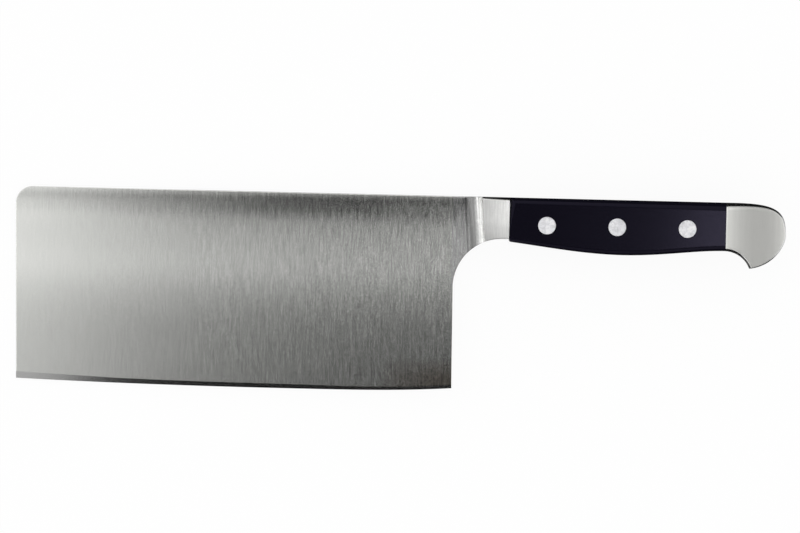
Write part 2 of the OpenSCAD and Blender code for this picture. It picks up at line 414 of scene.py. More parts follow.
def add_blade(shell, slot, bevel_slot):
    """The blade up to the heel: columns run from the edge to the spine, rows from
    the front to the heel, and both end in the narrow rows of the rim. Round the
    nose the rows follow arcs about its centre."""
    share = np.concatenate([
        np.zeros(len(RIM_ROWS)),
        np.linspace(0, 1, BLADE_COLS + 1)[1:-1],
        np.ones(len(RIM_ROWS)),
    ])
    offset = np.concatenate([
        RIM_ROWS,
        lerp(RIM_CUT, -RIM_CUT, share[len(RIM_ROWS):-len(RIM_ROWS)]),
        -RIM_ROWS[::-1],
    ])
    rim = np.where((share > 0) & (share < 1), RIM_CUT, np.abs(offset))

    def across(y):
        """Place along x of each column at a height."""
        return lerp(front_x(y), heel_x(y), share) + offset

    # Below the hollow of the heel: the bevel, then the lower part of the cheek
    foot_x = across(HEEL_BEVEL_H)
    foot_y = bevel_top(foot_x)
    edge_y = edge_bow(foot_x)
    bevel_y = [lerp(edge_y, foot_y, t) for t in np.linspace(0, 1, BEVEL_ROWS)[:-1]]
    cheek_y = [lerp(foot_y, HEEL_C[1], t) for t in np.linspace(0, 1, LOW_ROWS + 1)]
    y = np.array(bevel_y + cheek_y)
    x = np.array([across(row) for row in y])
    taper = np.clip((y - foot_y) / RIM_FADES, 0, 1)
    z = cheek_z(y) - taper * round_drop(rim, RIM_ROUND)
    z = np.minimum(z, (y - edge_y) * flat_cheek_z(foot_y) / (foot_y - edge_y))
    low = np.dstack([x, y, z])
    shell.both_sides(low[:BEVEL_ROWS], bevel_slot)
    shell.both_sides(low[BEVEL_ROWS - 1:], slot)
    shell.bridge(low[:, 0], slot)
    shell.bridge(low[:, -1], slot)

    # Above it, up to the nose and the spine
    share, offset, rim = (a[:-len(RIM_ROWS)] for a in (share, offset, rim))
    share, offset, rim = np.append(share, 1), np.append(offset, -RIM_CUT), np.append(rim, RIM_CUT)
    level_y = np.linspace(HEEL_C[1], NOSE_C[1], HIGH_ROWS + 1)
    level = np.dstack([
        [lerp(front_x(row), heel_x(BLADE_H), share) + offset for row in level_y],
        np.repeat(level_y[:, None], len(share), axis=1),
    ])
    turn = np.linspace(0, math.pi / 2, NOSE_ROWS + 1)[1:, None]
    radius = NOSE_R - rim
    arc_x = NOSE_C[0] - radius * np.cos(turn)
    arc_y = NOSE_C[1] + radius * np.sin(turn)
    inner_x = lerp(arc_x[:, len(RIM_ROWS) - 1:len(RIM_ROWS)], heel_x(BLADE_H) - RIM_CUT, share)
    on_arc = np.arange(len(share)) < len(RIM_ROWS)
    curved = np.dstack([np.where(on_arc, arc_x, inner_x), arc_y])
    high = np.concatenate([level, curved])
    z = cheek_z(high[..., 1]) - round_drop(rim, RIM_ROUND)
    high = np.dstack([high, z])
    shell.both_sides(high, slot)
    shell.bridge(high[:, 0], slot)

    # The rim along the spine
    spine_x = np.broadcast_to(high[-1, len(RIM_ROWS) - 1:, 0], (len(RIM_ROWS), BLADE_COLS + 1))
    y = np.broadcast_to(BLADE_H - RIM_ROWS[:, None], spine_x.shape)
    z = cheek_z(y) - round_drop(RIM_ROWS, RIM_ROUND)[:, None]
    spine = np.dstack([spine_x, y, z])
    shell.both_sides(spine, slot)
    shell.bridge(spine[0], slot)


# Points on the hollow's arc among which the ramp's top is looked for
ARC_POINTS = 2000
# Rows of the bolster along the spine that have the rim's finish
RIM_SHARE_ROWS = 9


def add_neck(shell, ramp_slot, bolster_slot, rim_slot):
    """From the heel to the grip: columns rise from the hollow to the spine, and one
    of them follows the line where the ramp meets the bolster's side. Rows are
    narrow along both rims."""
    inner = HEEL_R + RIM_CUT
    turns = np.linspace(math.pi, math.pi / 2, ARC_POINTS)
    arc_x = HEEL_C[0] + inner * np.cos(turns)
    arc_y = HEEL_C[1] + inner * np.sin(turns)
    top_turn = turns[np.argmax(arc_x > ramp_top_x(arc_y))]
    turn = np.concatenate([
        np.linspace(math.pi, top_turn, RAMP_COLS + 1),
        np.linspace(top_turn, math.pi / 2, FLAT_COLS + 1)[1:],
        np.full(len(SEAM_COLS), math.pi / 2),
    ])
    seam_x = NECK_LEN - SEAM_COLS
    beyond = np.append(np.zeros(len(turn) - len(seam_x)), seam_x - HEEL_C[0])

    def under(rim):
        """Points rim away from the outline of the hollow and the underside."""
        radius = HEEL_R + rim
        return HEEL_C[0] + radius * np.cos(turn) + beyond, HEEL_C[1] + radius * np.sin(turn)

    low_x, low_y = under(RIM_CUT)
    share = np.concatenate([
        np.linspace(0, 1, RAMP_COLS + 1),
        np.linspace(1, 0, FLAT_COLS + 1)[1:],
        np.zeros(len(seam_x)),
    ])
    line_top = TOP_EDGE_X - (EASE_RAMP - RIM_CUT) * math.tan(RAMP_TURN)
    high_x = np.concatenate([
        lerp(heel_x(BLADE_H) - RIM_CUT, line_top, share[:RAMP_COLS + 1]),
        lerp(HEEL_C[0], line_top, share[RAMP_COLS + 1:-len(seam_x)]),
        seam_x,
    ])
    nose_turn = np.linspace(0, math.pi / 2, NOSE_ROWS + 1)[1:]
    top_y = NOSE_C[1] + (NOSE_R - RIM_CUT) * np.sin(nose_turn)
    rows = [lerp(low_y, NOSE_C[1], t) for t in np.linspace(0, 1, HIGH_ROWS + 1)]
    rows += [np.full(len(turn), y) for y in top_y]
    rows += [np.full(len(turn), BLADE_H - rim) for rim in RIM_ROWS[-2::-1]]
    y = np.array(rows)
    t = (y - low_y) / (BLADE_H - RIM_CUT - low_y)
    straight_top = TOP_EDGE_X - (y - BLADE_H + EASE_RAMP) * math.tan(RAMP_TURN)
    pull = np.where(y > BLADE_H - EASE_RAMP, ramp_top_x(y) - straight_top, 0)
    x = lerp(low_x, high_x, np.minimum(t, 1)) + share * pull
    rim = np.minimum(BLADE_H - y, RIM_CUT)
    for distance in RIM_ROWS[-2::-1]:
        under_x, under_y = under(distance)
        x = np.vstack([under_x, x])
        y = np.vstack([under_y, y])
        rim = np.vstack([np.full(len(turn), distance), rim])
    neck = np.dstack([x, y, neck_z(x, y, rim)])
    shell.both_sides(neck[:, :RAMP_COLS + 1], ramp_slot)
    shell.both_sides(neck[:-RIM_SHARE_ROWS, RAMP_COLS:], bolster_slot)
    shell.both_sides(neck[-RIM_SHARE_ROWS - 1:, RAMP_COLS:], rim_slot)
    for line, slot in (
        (neck[0, :RAMP_COLS + 1], ramp_slot),
        (neck[-1, :RAMP_COLS + 1], ramp_slot),
        (neck[0, RAMP_COLS:], bolster_slot),
        (neck[-1, RAMP_COLS:], bolster_slot),
        (neck[:, -1], bolster_slot),
    ):
        shell.bridge(line, slot)


# The handle: grip and butt have rims that are rounded over

def curve(a, b, shares, steps=30):
    """A cubic curve from a to b without its first point. Its two inner points lie
    at shares of the way from a to b, along x and along y."""
    a, b = np.array(a), np.array(b)
    p, q = (a + (b - a) * np.array(s) for s in shares)
    t = np.linspace(0, 1, steps + 1)[1:, None]
    u = 1 - t
    return u ** 3 * a + 3 * u * u * t * p + 3 * u * t * t * q + t ** 3 * b


GRIP_FRONT = (NECK_LEN, BLADE_H - GRIP_FRONT_H)
GRIP_START = (NECK_LEN + CORNER_CUT, BLADE_H - GRIP_FRONT_H)
GRIP_BELLY = (NECK_LEN + GRIP_BELLY_AT, BLADE_H - GRIP_BELLY_H)
GRIP_REAR = (REAR_SEAM, BLADE_H - GRIP_REAR_H)
HOOK = (REAR_SEAM + HOOK_AT, BLADE_H - HOOK_H)
REARMOST = (REAR_SEAM + BUTT_LEN, BLADE_H - BUTT_END_DROP)
TOP_BEND = (REAR_SEAM + BUTT_TOP_FLAT, BLADE_H)
TOP_REAR = (REAR_SEAM, BLADE_H)
TOP_FRONT = (NECK_LEN, BLADE_H)


def grip_under():
    """The underside of the grip, from the front seam to the rear seam."""
    return np.vstack([
        [GRIP_FRONT[0], GRIP_FRONT[1] + CORNER_CUT],
        GRIP_START,
        curve(GRIP_START, GRIP_BELLY, ((0.33, 0.425), (0.66, 1))),
        curve(GRIP_BELLY, GRIP_REAR, ((0.38, 0), (0.7, 1))),
    ])


def straight(a, b, steps=24):
    """Points from a to b, without the first."""
    t = np.linspace(0, 1, steps + 1)[1:, None]
    return lerp(np.array(a), np.array(b), t)


def grip_outline():
    """The grip seen from its side, along the underside and back along the top."""
    return np.vstack([grip_under(), TOP_REAR, straight(TOP_REAR, TOP_FRONT)])


def butt_outline():
    """The butt's outline. Round the hook's sharp point it has no points so near that
    the rounded rim would fold over itself."""
    loop = np.vstack([
        GRIP_REAR,
        curve(GRIP_REAR, HOOK, ((0.45, 0), (0.83, 0.39))),
        curve(HOOK, REARMOST, ((0.79, 0.15), (1, 0.85))),
        curve(REARMOST, TOP_BEND, ((0, 0.82), (0.21, 1))),
        TOP_REAR,
    ])
    from_hook = np.linalg.norm(loop - HOOK, axis=1)
    return loop[(from_hook < ON_HOOK) | (from_hook > HOOK_CLEAR)]


def outward(loop):
    """The direction out of a loop at each corner, as long as it takes to move both
    sides out by one. Corners on the seams move only up or down."""
    side = np.roll(loop, -1, axis=0) - loop
    side /= np.linalg.norm(side, axis=1)[:, None]
    normal = np.column_stack([side[:, 1], -side[:, 0]])
    total = normal + np.roll(normal, 1, axis=0)
    out = 2 * total / (total ** 2).sum(axis=1)[:, None]
    on_seam = np.isin(loop[:, 0], (NECK_LEN, REAR_SEAM))
    up = np.where(loop[:, 1] > BLADE_H - EASE_FRONT, 1.0, -1.0)
    return np.where(on_seam[:, None], np.column_stack([0 * up, up]), out)


# What the underside keeps of the rounding, and how far below the spine it lies
EASE_UNDER = 0.6
UNDER_AT = 14.0


def handle_ease(loop):
    """Rounding of the rims: it grows along the grip, shrinks along the butt, is least
    at the hook's point, and is smaller on the underside than along the spine."""
    x, y = loop.T
    under = lerp(1, EASE_UNDER, np.clip((BLADE_H - y) / UNDER_AT, 0, 1))
    grip = lerp(EASE_FRONT, EASE_REAR, (x - NECK_LEN) / GRIP_LEN)
    butt = lerp(EASE_REAR, EASE_END, (x - REAR_SEAM) / BUTT_LEN)
    near = np.maximum(0, 1 - np.linalg.norm(loop - HOOK, axis=1) / HOOK_AT)
    return np.where(x <= REAR_SEAM, grip * under, lerp(butt * under, EASE_HOOK, near))


EASE_STEPS = 10
RIM_SHARE_RINGS = 7
FLAT_RING = 0.3


def rounded_rim(loop):
    """Rings from the wall up to the flat side: a quarter circle about each point of
    the loop, and one more ring on the flat."""
    out, ease = outward(loop), handle_ease(loop)[:, None]
    rings = []
    for angle in np.linspace(math.pi / 2, 0, EASE_STEPS + 1):
        inset = loop - ease * (1 - math.sin(angle)) * out
        rings.append(np.hstack([inset, HALF_T - ease * (1 - math.cos(angle))]))
    inset = loop - (ease + FLAT_RING) * out
    rings.append(np.hstack([inset, np.full_like(ease, HALF_T)]))
    return np.array(rings)


def add_butt(shell, slot, rim_slot):
    """The butt: its two rounded rims, the wall between them and its flat sides. The
    steep part of each rim has a finish of its own."""
    rings = rounded_rim(butt_outline())
    steep, shallow = rings[:RIM_SHARE_RINGS + 1], rings[RIM_SHARE_RINGS:]
    shell.grid(np.stack([rings[0] * [1, 1, -1], rings[0]]), slot, closed=True)
    for mirror in ([1, 1, 1], [1, 1, -1]):
        shell.grid(steep * mirror, rim_slot, closed=True)
        shell.grid(shallow * mirror, slot, closed=True)
    shell.cap(rings[-1], HALF_T, slot=slot)
    shell.cap(rings[-1], -HALF_T, slot=slot)


def circle(centre, radius, sides=64):
    """Points round a centre, without a height."""
    turn = np.linspace(0, 2 * math.pi, sides, endpoint=False)
    return np.column_stack([centre[0] + radius * np.cos(turn), centre[1] + radius * np.sin(turn)])


def rivet_at(i):
    """Place of a rivet's axis along x and y."""
    return NECK_LEN + RIVET_FIRST + i * RIVET_PITCH, BLADE_H - RIVET_DROP


ROOT_LEN = 3.0
ROOT_INSET = 0.6


def add_tang(shell, slot):
    """The tang: the grip's outline with a root in the bolster and in the butt, and
    bores for the rivets."""
    low, top = BLADE_H - BOLSTER_H + ROOT_INSET, BLADE_H - ROOT_INSET
    rear_low = GRIP_REAR[1] + ROOT_INSET
    loop = np.vstack([
        [[NECK_LEN - ROOT_LEN, low], [NECK_LEN, low]],
        grip_under(),
        [[REAR_SEAM, rear_low], [REAR_SEAM + ROOT_LEN, rear_low]],
        [[REAR_SEAM + ROOT_LEN, top], [REAR_SEAM, top]],
        [TOP_REAR],
        [TOP_FRONT],
        [[NECK_LEN, top], [NECK_LEN - ROOT_LEN, top]],
    ])
    bores = [circle(rivet_at(i), SLEEVE_D / 2 + HOLE_GAP) for i in range(RIVETS)]
    for ring in (loop, *bores):
        wall = [raised(ring, -TANG_T / 2), raised(ring, TANG_T / 2)]
        shell.grid(np.stack(wall), slot, closed=True)
    for z in (-TANG_T / 2, TANG_T / 2):
        shell.cap(loop, z, bores, slot)


def make_scale(name, side, materials):
    """A handle scale: flat against the tang, rounded over outside, with a stepped
    bore for each rivet."""
    shell = Shell()
    loop = grip_outline()
    rings = rounded_rim(loop)
    floor = TANG_T / 2
    shell.grid(np.stack([raised(loop, floor), rings[0]]), closed=True)
    shell.grid(rings, 1, closed=True)
    wide = [circle(rivet_at(i), HEAD_D / 2 + HOLE_GAP) for i in range(RIVETS)]
    narrow = [circle(rivet_at(i), SLEEVE_D / 2 + HOLE_GAP) for i in range(RIVETS)]
    for w, n in zip(wide, narrow):
        steps = [raised(w, HALF_T), raised(w, SEAT_Z), raised(n, SEAT_Z), raised(n, floor)]
        shell.grid(np.array(steps), closed=True)
    shell.cap(rings[-1], HALF_T, wide)
    shell.cap(loop, floor, narrow)
    shell.points = [p * [1, 1, side] for p in shell.points]
    return shell.finish(name, materials)


def make_turned(name, centre, profile, material, sides=96):
    """A turned part: a profile of radius and height, carried round the rivet's axis."""
    shell = Shell()
    turn = np.linspace(0, 2 * math.pi, sides, endpoint=False)
    radius, height = np.array(profile).T
    x = centre[0] + radius[:, None] * np.cos(turn)
    y = centre[1] + radius[:, None] * np.sin(turn)
    z = np.broadcast_to(height[:, None], x.shape)
    shell.grid(np.dstack([x, y, z]), closed=True)
    return shell.finish(name, [material])


HEAD_STEPS = 4


def head_profile(side):
    """The rim and face of a rivet head, from its underside to its middle."""
    turn = np.linspace(0, math.pi / 2, HEAD_STEPS + 1)
    radius = HEAD_D / 2 - HEAD_RIM * (1 - np.cos(turn))
    height = HALF_T - HEAD_RIM * (1 - np.sin(turn))
    inner = [[HEAD_D / 2 - 2 * HEAD_RIM, side * HALF_T], [0, side * HALF_T]]
    rim = np.column_stack([radius, side * height]).tolist()
    return [[HEAD_D / 2, side * SEAT_Z], *rim, *inner]


def make_stud(i, material):
    """The upper half of a rivet: a head on a solid shank."""
    r, tip = STUD_D / 2, END_GAP - SEAT_Z
    shank = [[0, tip], [r - HEAD_RIM, tip], [r, tip + HEAD_RIM], [r, SEAT_Z]]
    return make_turned(f"stud_{i + 1}", rivet_at(i), shank + head_profile(1), material)


def make_sleeve(i, material):
    """The lower half of a rivet: a head on a tube that takes the shank."""
    r, bore, end = SLEEVE_D / 2, STUD_D / 2 + PRESS_GAP, SEAT_Z - END_GAP
    tube = [[0, -SEAT_Z], [bore, -SEAT_Z], [bore, end], [r, end], [r, -SEAT_Z]]
    return make_turned(f"sleeve_{i + 1}", rivet_at(i), tube + head_profile(-1), material)


# Materials

def new_group(name, inputs, outputs):
    """A shader node group with float inputs and outputs of the given kinds."""
    group = bpy.data.node_groups.new(name, "ShaderNodeTree")
    for label, value in inputs.items():
        socket = group.interface.new_socket(label, in_out="INPUT", socket_type="NodeSocketFloat")
        socket.default_value = value
    for label, kind in outputs.items():
        group.interface.new_socket(label, in_out="OUTPUT", socket_type=kind)
    return group, group.nodes.new("NodeGroupInput"), group.nodes.new("NodeGroupOutput")


def math_node(tree, operation, *values):
    """A sum, product or the like of its inputs, each a number or a socket."""
    node = tree.nodes.new("ShaderNodeMath")
    node.operation = operation
    for socket, value in zip(node.inputs, values):
        if isinstance(value, (int, float)):
            socket.default_value = value
        else:
            tree.links.new(value, socket)
    return node.outputs[0]


def object_coordinates(tree):
    """Places on the object, in metres of the frame."""
    return tree.nodes.new("ShaderNodeTexCoord").outputs["Object"]


NOISE_ROUGHNESS = 0.6


def stretched_noise(tree, scale, detail):
    """Noise on Object coordinates, stretched by a scale for each axis, per metre."""
    mapping = tree.nodes.new("ShaderNodeMapping")
    mapping.inputs["Scale"].default_value = scale
    tree.links.new(object_coordinates(tree), mapping.inputs["Vector"])
    noise = tree.nodes.new("ShaderNodeTexNoise")
    noise.inputs["Scale"].default_value = 1
    noise.inputs["Detail"].default_value = detail
    noise.inputs["Roughness"].default_value = NOISE_ROUGHNESS
    tree.links.new(mapping.outputs["Vector"], noise.inputs["Vector"])
    return noise.outputs["Fac"]


# The marks of grinding: how many there are to the metre along x, y and z
GRINDING_PARTS = {
    "Lines": (2400, 140, 600),
    "Streaks": (2100, 1600, 600),
    "Clouds": (60, 90, 60),
    "Spots": (560, 560, 560),
}
GRINDING_DETAIL = 2


def grinding_group():
    """Marks that a grinding belt leaves across the blade: long lines, short streaks,
    faint clouds and small spots, each a stretched noise about zero with a weight. The
    lines and streaks are deep, and all of them change the tone."""
    outputs = {"Height": "NodeSocketFloat", "Tone": "NodeSocketFloat"}
    group, given, out = new_group("belt_grinding", dict.fromkeys(GRINDING_PARTS, 0.0), outputs)
    total = 0.0
    for label, scale in GRINDING_PARTS.items():
        noise = stretched_noise(group, scale, GRINDING_DETAIL)
        about_zero = math_node(group, "SUBTRACT", noise, 0.5)
        weighted = math_node(group, "MULTIPLY", about_zero, given.outputs[label])
        total = math_node(group, "ADD", weighted, total)
        if label == "Streaks":
            group.links.new(total, out.inputs["Height"])
    group.links.new(total, out.inputs["Tone"])
    return group


def principled(name):
    """A new material, its nodes and its Principled shader."""
    material = bpy.data.materials.new(name)
    material.use_nodes = True
    return material, material.node_tree, material.node_tree.nodes["Principled BSDF"]


def bare(name):
    """A new material without a shader: its nodes and the socket of its surface."""
    material, tree, shader = principled(name)
    tree.nodes.remove(shader)
    return material, tree, tree.nodes["Material Output"].inputs["Surface"]


def tinted(tree, colour, factor):
    """A colour made lighter or darker by a factor."""
    node = tree.nodes.new("ShaderNodeVectorMath")
    node.operation = "SCALE"
    node.inputs[0].default_value = colour
    tree.links.new(factor, node.inputs["Scale"])
    return node.outputs[0]


def product(tree, colour, other):
    """Two colours multiplied; a single value counts for all three parts."""
    node = tree.nodes.new("ShaderNodeVectorMath")
    node.operation = "MULTIPLY"
    tree.links.new(colour, node.inputs[0])
    tree.links.new(other, node.inputs[1])
    return node.outputs[0]


def add_bumps(tree, shader, height, depth):
    """Bumps that bend a shader's reflections, by a height and a depth in millimetres."""
    bumps = tree.nodes.new("ShaderNodeBump")
    bumps.inputs["Strength"].default_value = 1
    bumps.inputs["Distance"].default_value = depth * MM
    tree.links.new(height, bumps.inputs["Height"])
    tree.links.new(bumps.outputs[0], shader.inputs["Normal"])


# What the marks add to the roughness of steel, and how deep they are in millimetres
ROUGH_TONE = 0.06
STEEL_BUMP = 0.002


def ground_steel(name, colour, roughness, anisotropy, tone, weights, shade=None):
    """Steel with belt grinding across it: the marks change its tone and roughness and
    bend its reflections a little. The shade is a factor on its colour, or one for
    each of red, green and blue, which mostly paints light and shade onto the steel."""
    material, tree, shader = principled(name)
    shader.inputs["Metallic"].default_value = 1
    shader.inputs["Anisotropic"].default_value = anisotropy
    tangent = tree.nodes.new("ShaderNodeTangent")
    tangent.direction_type = "UV_MAP"
    tangent.uv_map = "grain"
    tree.links.new(tangent.outputs[0], shader.inputs["Tangent"])
    grain = tree.nodes.new("ShaderNodeGroup")
    grain.node_tree = grinding
    for label, weight in zip(GRINDING_PARTS, weights):
        grain.inputs[label].default_value = weight
    marks = math_node(tree, "MULTIPLY", grain.outputs["Tone"], strength_of_marks(tree))
    base = tinted(tree, colour, math_node(tree, "MULTIPLY_ADD", marks, tone, 1))
    if shade is not None:
        # The shade: painted light and shade, multiplied into the colour
        base = product(tree, base, shade(tree))
    tree.links.new(base, shader.inputs["Base Color"])
    rough = math_node(tree, "MULTIPLY_ADD", marks, ROUGH_TONE, roughness)
    smoother = by_place(tree, "Y", SMOOTH_ACROSS)
    tree.links.new(math_node(tree, "SUBTRACT", rough, smoother), shader.inputs["Roughness"])
    add_bumps(tree, shader, grain.outputs["Height"], STEEL_BUMP)
    return material


def object_axes(tree):
    """The Object coordinate along each axis, in metres."""
    parts = tree.nodes.new("ShaderNodeSeparateXYZ")
    tree.links.new(object_coordinates(tree), parts.inputs[0])
    return parts.outputs


def graded(tree, value, stops, unit=1.0):
    """A smooth curve through stops of (place, brightness), along a value in metres.
    The unit is the length in which the places are given."""
    low, high = stops[0][0], stops[-1][0]
    spread = tree.nodes.new("ShaderNodeMapRange")
    spread.inputs["From Min"].default_value = low * unit
    spread.inputs["From Max"].default_value = high * unit
    tree.links.new(value, spread.inputs["Value"])
    ramp = tree.nodes.new("ShaderNodeValToRGB")
    ramp.color_ramp.interpolation = "EASE"
    marks = ramp.color_ramp.elements
    while len(marks) < len(stops):
        marks.new(0.5)
    for mark, (at, bright) in zip(marks, stops):
        mark.position = (at - low) / (high - low)
        mark.color = (bright, bright, bright, 1)
    tree.links.new(spread.outputs["Result"], ramp.inputs["Fac"])
    return ramp.outputs["Color"]


def by_place(tree, axis, stops):
    """A smooth curve along x or y, in millimetres from the heel."""
    heel_at = float(HEEL["XY".index(axis)])
    distance = math_node(tree, "SUBTRACT", object_axes(tree)[axis], heel_at)
    return graded(tree, distance, stops, MM)


def by_both(tree, x_stops, y_stops):
    """The product of a curve along x and a curve along y."""
    along, across = by_place(tree, "X", x_stops), by_place(tree, "Y", y_stops)
    return math_node(tree, "MULTIPLY", along, across)


# How strongly the grinding marks show along the knife, in millimetres from the heel: they
# fade towards the tip, a painted stand-in for the highlight that hides them there
MARK_STRENGTH_ALONG = (
    (-180, 0.15), (-118, 0.32), (-98, 0.6), (-65, 0.85), (0, 1.0), (140, 1.0),
)
# What the strip along the spine adds to it, by the height over the heel
SPINE_STRENGTH = ((0, 0.0), (62, 0.0), (74, 0.25), (80, 0.25))


def strength_of_marks(tree):
    """The marks are faint at the blade's tip, a painted stand-in for the highlight that hides
    them there, and stronger towards its heel and spine.
    """
    along, across = by_place(tree, "X", MARK_STRENGTH_ALONG), by_place(tree, "Y", SPINE_STRENGTH)
    return math_node(tree, "ADD", along, across)


# Painted light and shade on the steel across the ramp, in millimetres from its axis: dark
# lines at its foot, partly wheel marks and partly painted shade, then a painted highlight
# that grows to its top. Its lines are turned a little.
RAMP_PAINTED_LIGHT = (
    (1.0, 1.0), (1.35, 0.62), (1.55, 0.62), (1.83, 0.9), (2.24, 0.95), (2.66, 0.6), (3.07, 0.42),
    (3.48, 0.34), (3.9, 0.38), (4.3, 0.36), (4.7, 0.4), (5.1, 0.6), (5.53, 0.66), (5.94, 0.66),
    (6.35, 0.52), (6.76, 0.53), (7.06, 0.72), (7.3, 1.0), (7.6, 1.42), (8.5, 1.42), (9.0, 1.0),
)
MARKS_TURN = math.radians(4)


def ramp_painted_light(tree):
    """The distance from the ramp's axis is a dot product with the direction across
    the marks."""
    across = (math.cos(MARKS_TURN), math.sin(MARKS_TURN), 0)
    dot = tree.nodes.new("ShaderNodeVectorMath")
    dot.operation = "DOT_PRODUCT"
    dot.inputs[1].default_value = across
    tree.links.new(object_coordinates(tree), dot.inputs[0])
    axis_at = float(np.dot(place([RAMP_X, RAMP_Y, 0]), across))
    distance = math_node(tree, "SUBTRACT", dot.outputs["Value"], axis_at)
    # The painted highlight and shade across the ramp, by the distance from its axis
    return graded(tree, distance, RAMP_PAINTED_LIGHT, MM)


# The band below the spine: where it lies, how much painted shade darkens it, and how much
# smoother it is
BAND_ALONG = ((-180, 0.0), (-105, 0.0), (-65, 1.0), (-36, 1.0), (-22, 0.0), (10, 0.0))
BAND_ACROSS = ((0, 0.0), (66, 0.0), (74, 1.0), (77, 1.0), (79.4, 0.2), (81, 0.2))
BAND_PAINTED_SHADE = 0.2
SMOOTH_ACROSS = ((0, 0.0), (62, 0.0), (72, 0.016), (80, 0.016))
# The corner at the heel is darker and browner: where that lies, and what it leaves of each colour
CORNER_ALONG = ((-180, 0.0), (-32, 0.0), (-20, 0.6), (-6, 1.0), (10, 1.0))
CORNER_ACROSS = ((-3, 1.0), (4, 1.0), (8, 0.6), (13, 0.0), (80, 0.0))
CORNER_LEAVES = (0.7, 0.64, 0.59)


def blade_painted_band_and_corner(tree):
    """One less the band's painted shade, times what the darker, browner corner at the heel
    leaves.
    """
    band = by_both(tree, BAND_ALONG, BAND_ACROSS)
    # The band's painted shade
    shade = math_node(tree, "MULTIPLY_ADD", band, -BAND_PAINTED_SHADE, 1)
    corner_tint = tree.nodes.new("ShaderNodeVectorMath")
    corner_tint.operation = "MULTIPLY_ADD"
    corner_tint.inputs[0].default_value = [part - 1 for part in CORNER_LEAVES]
    corner_tint.inputs[2].default_value = (1, 1, 1)
    tree.links.new(by_both(tree, CORNER_ALONG, CORNER_ACROSS), corner_tint.inputs[1])
    return product(tree, corner_tint.outputs[0], shade)


# Painted light and shade on the bolster's side along x and along y, and on the butt along x,
# in millimetres from the heel, with a painted highlight at each seam
BOLSTER_PAINTED_ALONG = ((11.6, 0.88), (13.5, 0.9), (16, 0.95), (19, 1.03), (21.8, 1.09), (22.3, 1.14))
BOLSTER_PAINTED_RISE = ((62, 0.84), (66, 0.92), (71, 1.0), (79, 1.0))
BUTT_PAINTED_LIGHT = (
    (111.7, 1.5), (112.1, 1.45), (112.5, 1.3), (113, 1.28), (115.6, 1.12), (118, 1.0),
    (120.5, 0.93), (123, 0.88), (128, 0.88), (130.5, 0.93), (133, 1.05), (136, 1.28),
)


def bolster_painted_light(tree):
    """Painted light: brighter towards the grip and towards the spine, lightest at the seam."""
    return by_both(tree, BOLSTER_PAINTED_ALONG, BOLSTER_PAINTED_RISE)


def butt_painted_light(tree):
    """Painted shade: darker in the middle than at both ends, with a painted highlight at the
    seam.
    """
    return by_place(tree, "X", BUTT_PAINTED_LIGHT)


PLASTIC_BLACK = (0.0045, 0.004, 0.008, 1)
PLASTIC_SHINE = (0.72, 0.66, 1, 1)
PLASTIC_ROUGH = 0.1
PLASTIC_SMEAR = 0.06
PLASTIC_BUMP = 0.004
# How many smears and bumps there are to the metre along x, y and z
SMEARS = (300, 900, 600)
BUMPS = (1200, 1600, 1600)
PLASTIC_DETAIL = 3


def black_plastic(name, specular):
    """Moulded black plastic with a faint polish and small unevenness."""
    material, tree, shader = principled(name)
    shader.inputs["Base Color"].default_value = PLASTIC_BLACK
    shader.inputs["Specular IOR Level"].default_value = specular
    shader.inputs["Specular Tint"].default_value = PLASTIC_SHINE
    smears = stretched_noise(tree, SMEARS, PLASTIC_DETAIL)
    rough = math_node(tree, "MULTIPLY_ADD", smears, PLASTIC_SMEAR, PLASTIC_ROUGH)
    tree.links.new(rough, shader.inputs["Roughness"])
    add_bumps(tree, shader, stretched_noise(tree, BUMPS, PLASTIC_DETAIL), PLASTIC_BUMP)
    return material


# The photograph: the frame's centre, its width on the knife and its turn
VIEW_CENTRE = (-22.4, 49.8)
VIEW_WIDTH = 329.9
VIEW_TURN = math.radians(1.385)
LENS = 350.0
SENSOR = 36.0


def make_camera():
    """A camera straight above the knife, as far away as its lens needs."""
    data = bpy.data.cameras.new("camera")
    data.lens = LENS
    data.sensor_width = SENSOR
    camera = new_object("camera", data)
    height = HALF_T + VIEW_WIDTH * LENS / SENSOR
    camera.location = place([*VIEW_CENTRE, height])
    camera.rotation_euler = (0, 0, VIEW_TURN)
    bpy.context.scene.camera = camera


def seen_directly(tree):
    """One for rays from the camera, a reflection or glass, and zero for the rest."""
    ray = tree.nodes.new("ShaderNodeLightPath").outputs
    mirrored = math_node(tree, "MAXIMUM", ray["Is Camera Ray"], ray["Is Glossy Ray"])
    return math_node(tree, "MAXIMUM", mirrored, ray["Is Transmission Ray"])


WORLD_LIGHT = 0.9


def make_world():
    """A white world: strength one where it is seen, a little less as light."""
    world = bpy.data.worlds.new("white_studio")
    world.use_nodes = True
    tree = world.node_tree
    background = tree.nodes["Background"]
    background.inputs["Color"].default_value = (1, 1, 1, 1)
    seen = seen_directly(tree)
    strength = math_node(tree, "MULTIPLY_ADD", seen, 1 - WORLD_LIGHT, WORLD_LIGHT)
    tree.links.new(strength, background.inputs["Strength"])
    bpy.context.scene.world = world


def flat_card(name, centre, across, along, turn, material):
    """A flat staged card between two edges along x and two along y, turned about
    its centre."""
    mesh = bpy.data.meshes.new(name)
    (left, right), (front, back) = across, along
    corners = [(left, front, 0), (right, front, 0), (right, back, 0), (left, back, 0)]
    mesh.from_pydata(corners, [], [(0, 1, 2, 3)])
    mesh.materials.append(material)
    card = new_object(name, mesh)
    card.location = centre
    card.rotation_euler = turn
    return card


FLOOR_SIZE = 6.0
FLOOR_WHITE = 0.92


